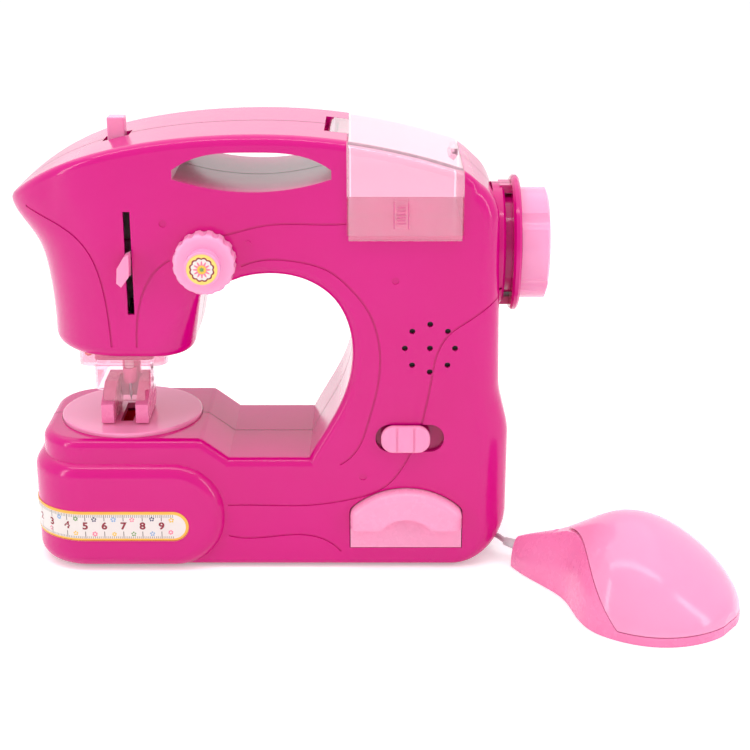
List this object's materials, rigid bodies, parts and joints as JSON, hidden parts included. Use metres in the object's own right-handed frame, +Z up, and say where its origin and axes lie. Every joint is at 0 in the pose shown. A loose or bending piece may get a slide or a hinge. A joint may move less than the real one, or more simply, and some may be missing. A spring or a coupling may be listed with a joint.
{
  "type": "toy sewing machine",
  "caption": "Battery toy sewing machine with a geared needle, handwheel, dial, hinged spool lid, drawer and a mouse-shaped pedal on a cord.",
  "frame": {"origin": "centre of the base plate's underside, on the floor", "axes": "+X along the machine towards the handwheel, +Y towards the back, +Z up"},
  "size_m": [0.3207, 0.1972, 0.202],
  "materials": {
    "magenta_plastic": "polished moulding",
    "pale_pink_plastic": "polished moulding",
    "pink_plastic": "polished moulding",
    "clear_plastic": "clear tinted moulding",
    "red_led": "clear tinted epoxy",
    "steel": "plain",
    "zinc_screws": "zinc plated",
    "white_nylon": "moulded",
    "board_green": "coated laminate",
    "black_plastic": "moulded",
    "speaker_black": "painted",
    "motor_can": "plated",
    "cell_wrap": "printed film",
    "contact_steel": "nickel plated",
    "ruler_print": "printed gloss label",
    "dial_print": "printed gloss label",
    "cord_grey": "soft vinyl"
  },
  "bodies": {
    "machine": {"front_shell": "magenta_plastic", "rear_shell": "magenta_plastic", "base_plate": "black_plastic", "plate_screws": "zinc_screws", "battery_door": "black_plastic", "door_screw": "zinc_screws", "batteries": "cell_wrap", "battery_contacts": "contact_steel", "housing_screws": "zinc_screws", "needle_plate": "pale_pink_plastic", "needle_guard": "clear_plastic", "led_bulbs": "red_led", "presser_foot": "pink_plastic", "gear_axle": "steel", "motor": "motor_can", "speaker": "speaker_black", "circuit_board": "board_green", "board_screws": "zinc_screws", "switch_body": "black_plastic", "lid_hinge_pin": "steel", "ruler_sticker": "ruler_print", "cord_gland": "cord_grey", "pedal_base": "pink_plastic", "pedal_hinge_pin": "steel", "pedal_contacts": "contact_steel", "pedal_relief": "cord_grey", "cord_lead": "cord_grey", "cord_coil": "cord_grey", "cord_run": "cord_grey"},
    "needle_bar_body": {"needle_bar": "white_nylon", "needle_clamp": "pink_plastic", "needle": "steel", "take_up_lever": "pale_pink_plastic", "top_post": "pale_pink_plastic"},
    "crank_body": {"crank_gear": "white_nylon"},
    "pinion_body": {"motor_pinion": "white_nylon", "motor_shaft": "steel"},
    "handwheel_body": {"handwheel": "pale_pink_plastic", "wheel_screw": "zinc_screws"},
    "dial_body": {"tension_dial": "pink_plastic", "dial_sticker": "dial_print", "dial_screw": "zinc_screws"},
    "switch_body_moving": {"switch_button": "pale_pink_plastic"},
    "drawer_body": {"drawer": "pink_plastic"},
    "lid_body": {"spool_lid": "clear_plastic"},
    "pedal_top_body": {"pedal_top": "pale_pink_plastic"}
  },
  "joints": [
    {"name": "needle_stroke", "type": "slide", "parent": "machine", "child": "needle_bar_body", "axis": [0, 0, 1], "range_m": [-0.012, 0.012]},
    {"name": "crank_spin", "type": "hinge", "parent": "machine", "child": "crank_body", "pos_m": [-0.066, 0.01, 0.1435], "axis": [0, 1, 0], "continuous": true},
    {"name": "pinion_spin", "type": "hinge", "parent": "machine", "child": "pinion_body", "pos_m": [-0.0384, 0.01, 0.1435], "axis": [0, 1, 0], "continuous": true},
    {"name": "handwheel_spin", "type": "hinge", "parent": "machine", "child": "handwheel_body", "pos_m": [0.119, 0, 0.1447], "axis": [1, 0, 0], "continuous": true},
    {"name": "dial_spin", "type": "hinge", "parent": "machine", "child": "dial_body", "pos_m": [-0.025, -0.044, 0.1462], "axis": [0, 1, 0], "continuous": true},
    {"name": "switch_slide", "type": "slide", "parent": "machine", "child": "switch_body_moving", "axis": [1, 0, 0], "range_m": [-0.002, 0.006]},
    {"name": "drawer_slide", "type": "slide", "parent": "machine", "child": "drawer_body", "axis": [0, -1, 0], "range_m": [0, 0.045]},
    {"name": "lid_hinge", "type": "hinge", "parent": "machine", "child": "lid_body", "pos_m": [0.0296, 0, 0.19565], "axis": [0, -1, 0], "range_deg": [0, 100]},
    {"name": "pedal_press", "type": "hinge", "parent": "machine", "child": "pedal_top_body", "pos_m": [0.19044, -0.09072, 0.008], "axis": [-0.6157, -0.788, 0], "range_deg": [0, 0.55], "stiffness_Nm_per_rad": 30}
  ],
  "couplings": [
    {"joint": "pinion_spin", "follows": "crank_spin", "ratio": -3.6}
  ]
}
